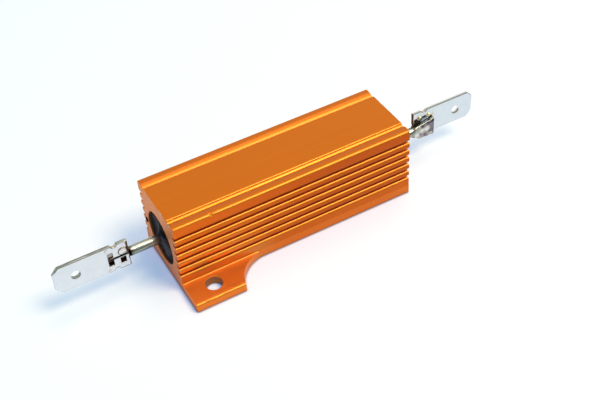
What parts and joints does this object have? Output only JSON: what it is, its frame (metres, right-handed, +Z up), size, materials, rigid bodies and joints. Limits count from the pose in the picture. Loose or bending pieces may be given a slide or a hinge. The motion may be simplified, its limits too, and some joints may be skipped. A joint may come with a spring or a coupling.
{
  "type": "power resistor",
  "caption": "Wirewound power resistor in a finned, orange anodised aluminium housing with diagonal screw feet and flat tab terminals on round leads.",
  "frame": {"origin": "middle of the flat underside of the housing, on the surface that it is screwed to", "axes": "+X along the housing from lead to lead, +Y across it, +Z up from the mounting surface"},
  "size_m": [0.0922, 0.0284, 0.0159],
  "materials": {
    "anodised_aluminium": "orange gold anodised, satin",
    "black_potting": "matte, uneven",
    "white_ceramic": "unglazed ceramic",
    "resistance_wire": "drawn nickel chrome wire",
    "cap_steel": "pressed steel",
    "tinned_lead": "tinned, slightly tarnished",
    "tinned_tab": "matte tin plate"
  },
  "bodies": {
    "root": {"housing": "anodised_aluminium", "potting": "black_potting", "core": "white_ceramic", "winding": "resistance_wire", "end_cap_left": "cap_steel", "end_cap_right": "cap_steel", "lead_left": "tinned_lead", "lead_right": "tinned_lead", "tab_left": "tinned_tab", "tab_right": "tinned_tab"}
  },
  "joints": []
}
